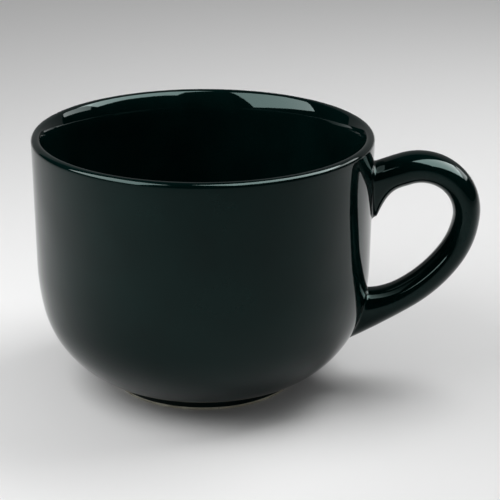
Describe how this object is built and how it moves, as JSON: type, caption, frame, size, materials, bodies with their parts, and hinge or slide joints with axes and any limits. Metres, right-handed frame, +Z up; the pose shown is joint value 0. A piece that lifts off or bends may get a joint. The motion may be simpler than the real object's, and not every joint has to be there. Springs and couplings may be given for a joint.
{
  "type": "soup mug",
  "caption": "Wide round-bottomed soup mug in dark gloss-glazed stoneware, standing on a low bare foot ring, with a loop handle flared into the wall at its roots.",
  "frame": {"origin": "on the bowl's axis, in the plane of the foot ring's resting face", "axes": "+Z up along the bowl's axis, +X out through the handle"},
  "size_m": [0.1592, 0.121, 0.0925],
  "materials": {
    "clay": "bare fired stoneware, fine-grained and matt",
    "slip": "fired slip, matt",
    "glaze": "high-gloss near-black green glaze"
  },
  "bodies": {
    "root": {"body": "clay", "handle": "clay", "upper_slip_joint": "slip", "lower_slip_joint": "slip", "outer_glaze": "glaze", "inner_glaze": "glaze", "handle_glaze": "glaze", "base_glaze": "glaze"}
  },
  "joints": []
}
